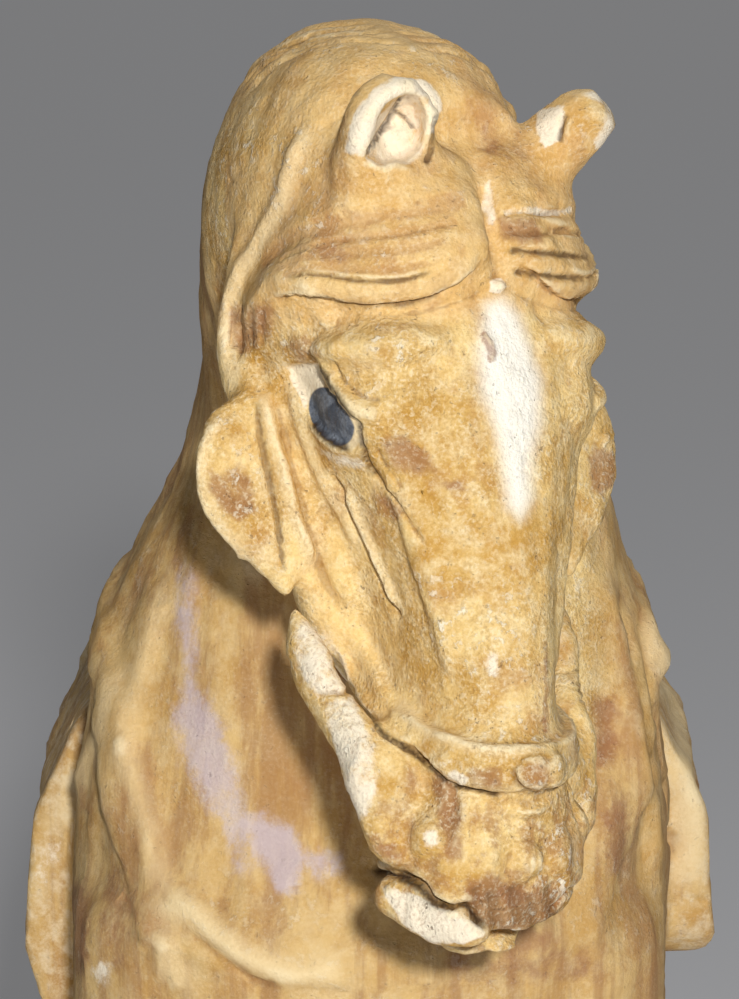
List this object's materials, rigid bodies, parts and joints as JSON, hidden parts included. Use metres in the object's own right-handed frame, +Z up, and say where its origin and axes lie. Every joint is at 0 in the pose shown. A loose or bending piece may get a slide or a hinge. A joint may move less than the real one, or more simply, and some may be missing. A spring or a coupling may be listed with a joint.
{
  "type": "terracotta horse figure",
  "caption": "Saddled terracotta horse standing on a low slab, its head turned to its left, with bridle, saddle cloth and broken ears.",
  "frame": {"origin": "middle of the base slab's underside", "axes": "+Z up; the horse faces -Y and its left side is +X"},
  "size_m": [0.1906, 0.4169, 0.5555],
  "materials": {
    "painted_clay": "matt worn paint",
    "base_clay": "matt"
  },
  "bodies": {
    "root": {"horse": "painted_clay", "base_slab": "base_clay"}
  },
  "joints": []
}
